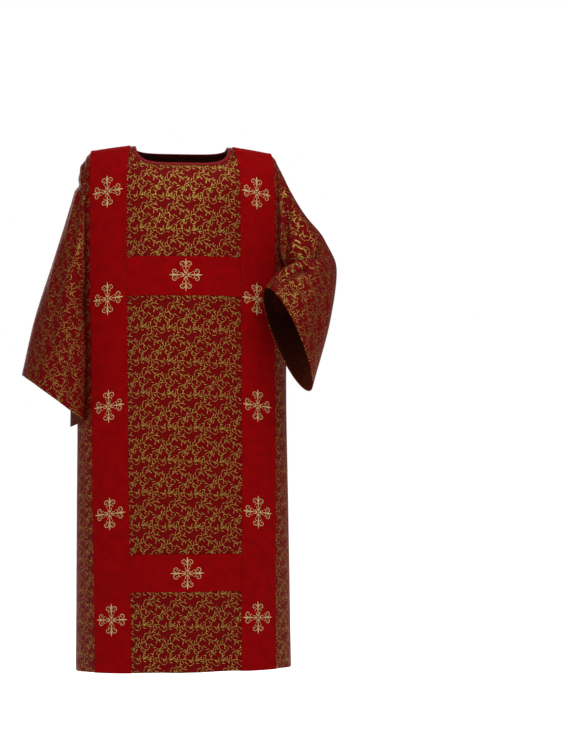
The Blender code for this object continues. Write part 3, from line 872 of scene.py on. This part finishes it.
velvet_pieces = {}
for strip_name, side in (("clavus_right", -1), ("clavus_left", 1)):
    rows = np.linspace(-CLOTH_LENGTH, CLOTH_LENGTH, STRIP_ROWS)[::-1]
    steps = velvet_steps(STRIP_WIDTH)
    rise = SEAM_GAP + turned_rise(np.minimum(steps, STRIP_WIDTH - steps))
    points, grain = [], []
    for down in rows:
        across = np.sort(side * (strip_start(down) + steps))
        points.append(on_velvet(across, np.full_like(across, down), rise))
        grain.append(np.stack([across, np.full_like(across, -down)], -1))
    velvet_pieces[strip_name] = cloth_piece(
        "velvet_" + strip_name, np.array(points), np.array(grain), (velvet,)
    )
for band_name, (side, start, end, *_) in BANDS.items():
    points, grain = [], []
    for down in start + velvet_steps(end - start):
        rise = SEAM_GAP + turned_rise(np.minimum(down - start, end - down))
        half = float(strip_start(down)) - SEAM_GAP
        across = np.linspace(-half, half, BAND_COLUMNS)
        level = np.full_like(across, side * down)
        points.append(on_velvet(across, level, np.full_like(across, rise)))
        grain.append(np.stack([-level, across], -1))
    velvet_pieces[band_name] = cloth_piece(
        "velvet_" + band_name, np.array(points)[::-side], np.array(grain)[::-side], (velvet,)
    )


# ---------------------------------------------------------------- Embroidered crosses
# Twenty-four crosses of pale gold thread, worked in raised satin stitch through the velvet: four equal arms,
# each a stem with a pointed petal between two curled ones. Five stand on each side of each strip, and one on
# each band.
EMBROIDERY_LIFT = 0.00015
EMBROIDERY_FLATNESS = 0.55
THREAD_DULL, THREAD_PAINTED_HIGHLIGHT = (0.26, 0.195, 0.070), (0.46, 0.37, 0.16)

embroidery, tree, shader = cloth_shader(
    "pale gold embroidery thread", 0.45, 0.5, 0.2, (1.0, 0.9, 0.6), 0.15
)
in_place = wire(tree, "ShaderNodeTexCoord", output=3)
in_mm = wire(tree, "ShaderNodeMapping", None, (in_place, None, None, (1000, 1000, 1000)))
strands = wire(tree, "ShaderNodeTexNoise", None, (in_mm, None, 1.6, 2.0, 0.5))
# Painted highlights: the thread is painted brighter where its strands stand higher, from the same noise that
# raises them.
tree.links.new(
    colour_mix(tree, soft_range(tree, strands, 0.35, 0.65), THREAD_DULL, THREAD_PAINTED_HIGHLIGHT),
    shader.inputs["Base Color"],
)
raise_bump(tree, shader, strands, 0.5, 0.0002)

# One arm, pointing up, in millimetres: points along each stroke with the half width there.
ARM_STROKES = [
    [(0, 2.4, 0.5), (0, 5.4, 1.2), (0, 8.6, 0.4)],
    [(0, 9.6, 0.4), (0, 14.5, 0.9), (0, 19.0, 0.9), (0, 22.0, 0.5)],
    [(0, 22.6, 0.4), (0, 26.6, 1.5), (0, 30.4, 1.2), (0, 35.5, 0.25)],
]
# The strokes of one side, which stand on both sides of the arm: a curled petal, its inner leaf and a tendril.
SIDE_STROKES = [
    [
        (0.8, 20.5, 0.45),
        (2.2, 25.0, 0.60),
        (5.0, 28.4, 0.65),
        (8.8, 28.4, 0.60),
        (11.6, 25.6, 0.60),
        (11.4, 21.8, 0.55),
        (8.6, 20.2, 0.50),
        (6.6, 22.0, 0.45),
        (7.8, 24.0, 0.35),
    ],
    [(1.0, 18.0, 0.35), (3.8, 18.8, 0.55), (6.4, 17.0, 0.55), (7.6, 14.2, 0.30)],
    [(1.0, 3.8, 0.50), (3.2, 6.4, 0.65), (3.4, 9.8, 0.60), (5.6, 12.6, 0.25)],
]
thread = bpy.data.curves.new("cross", "CURVE")
thread.dimensions = "3D"
thread.bevel_depth = 1.0
thread.bevel_resolution = 1
thread.resolution_u = 2
thread.use_fill_caps = True
other_side = [[(-x, y, width) for x, y, width in stroke] for stroke in SIDE_STROKES]
for turn in range(4):
    c, s = round(math.cos(turn * math.pi / 2)), round(math.sin(turn * math.pi / 2))
    for stroke in ARM_STROKES + SIDE_STROKES + other_side:
        line = thread.splines.new("BEZIER")
        line.bezier_points.add(len(stroke) - 1)
        for knot, (x, y, half_width) in zip(line.bezier_points, stroke):
            knot.co = (c * x - s * y, s * x + c * y, 0)
            knot.radius = half_width
            knot.handle_left_type = knot.handle_right_type = "AUTO"
dot = thread.splines.new("BEZIER")
dot.bezier_points.add(1)
for knot, x in zip(dot.bezier_points, (-0.6, 0.6)):
    knot.co, knot.radius = (x, 0, 0), 1.2
    knot.handle_left_type = knot.handle_right_type = "AUTO"
cross_object = bpy.data.objects.new("cross", thread)
flat_cross = bpy.data.meshes.new_from_object(cross_object)
bpy.data.objects.remove(cross_object)
bpy.data.curves.remove(thread)

FRONT_CROSSES = [0.164 + 0.230 * i for i in range(5)]
BACK_CROSSES = [0.150 + 0.2305 * i for i in range(5)]
LEFT_FRONT_SHIFT = -0.005
MM = 0.001


def sew_crosses(name, places):
    """Crosses at cloth coordinates, as one piece that lies on the velvet."""
    form = bmesh.new()
    for across, down in places:
        known = len(form.verts)
        form.from_mesh(flat_cross)
        form.verts.ensure_lookup_table()
        new = form.verts[known:]
        local = np.array([vertex.co for vertex in new]) * MM
        side = 1 if down > 0 else -1
        height = SEAM_GAP + VELVET_WALL + EMBROIDERY_LIFT + local[:, 2] * EMBROIDERY_FLATNESS
        placed = on_velvet(across + local[:, 0], down - side * local[:, 1], height)
        for vertex, point in zip(new, placed):
            vertex.co = Vector(point)
    bmesh.ops.recalc_face_normals(form, faces=form.faces)
    for face in form.faces:
        face.smooth = True
    mesh = bpy.data.meshes.new(name)
    form.to_mesh(mesh)
    form.free()
    mesh.materials.append(embroidery)
    piece = bpy.data.objects.new(name, mesh)
    bpy.context.collection.objects.link(piece)
    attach(piece, "root")
    return piece


for strip_name, side, shift in (("clavus_right", -1, 0.0), ("clavus_left", 1, LEFT_FRONT_SHIFT)):
    places = []
    for down in [*FRONT_CROSSES, *(-at for at in BACK_CROSSES)]:
        middle = float(strip_start(down)) + STRIP_WIDTH / 2 + shift * (down > 0)
        places.append((side * middle, down))
    crosses = sew_crosses("crosses_" + strip_name, places)
    finish_velvet(velvet_pieces[strip_name], strip_name)
for band_name, (side, start, end, across, down) in BANDS.items():
    crosses = sew_crosses("cross_" + band_name, [(across, side * down)])
    finish_velvet(velvet_pieces[band_name], band_name)


# ---------------------------------------------------------------- Neck binding
# A narrow red braid folded over the neck's cut edge and stitched through, a ring round the opening. Its two
# edges lie on the front and the back of the cloth, and its fold stands at the neck.
TAPE_STEPS = 14
TAPE_OPEN = math.radians(24)
TAPE_WALL = 0.0004
TAPE_HALF_HEIGHT, TAPE_SETBACK = 0.0013, 0.0004
BRAID_PAINTED_SHADE, BRAID_PAINTED_LIGHT = (0.10, 0.0008, 0.002), (0.17, 0.0018, 0.004)

binding, tree, shader = cloth_shader("red silk braid", 0.7, 0.12, 0.05, (1.0, 0.2, 0.2))
ribs = wire(
    tree,
    "ShaderNodeTexWave",
    None,
    (grain_place(tree, 1000.0), 0.8, 0.5, 1.0),
    wave_type="BANDS",
    bands_direction="DIAGONAL",
)
# Painted light and shade: the braid is painted lighter on its raised ribs and darker in the grooves between
# them.
tree.links.new(colour_mix(tree, ribs, BRAID_PAINTED_SHADE, BRAID_PAINTED_LIGHT), shader.inputs["Base Color"])
raise_bump(tree, shader, ribs, 0.5, 0.0003)


def neck_ring(grown, lift):
    """The neck's edge once round: along the front to +X and back along the back."""
    across = mirrored(neck_columns) * (NECK_HALF_WIDTH + grown) / NECK_EDGE
    front, back = (neck_edge(across, NECK_DEPTHS[side], grown) for side in (1, -1))
    round_across = np.append(across, across[-2::-1])
    round_down = np.append(front, -back[-2::-1])
    return on_velvet(round_across, round_down, np.full_like(round_across, lift))


half = BINDING_WIDTH / 2
turns = np.linspace(TAPE_OPEN, 2 * np.pi - TAPE_OPEN, TAPE_STEPS + 1)
rings = np.array(
    [
        neck_ring(half + half * np.cos(turn), TAPE_HALF_HEIGHT * np.sin(turn) - TAPE_SETBACK)
        for turn in turns
    ]
)
length = travelled(rings, 1)
grain = np.stack([length, travelled(rings, 0)], -1)
neck_binding = cloth_piece("neck_binding_braid", rings, grain, (binding,), closed=True)
form = bmesh.new()
form.from_mesh(neck_binding.data)
bmesh.ops.recalc_face_normals(form, faces=form.faces)
form.to_mesh(neck_binding.data)
form.free()
give_wall(neck_binding, TAPE_WALL, 0.0)
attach(neck_binding, "root")
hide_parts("neck_binding")
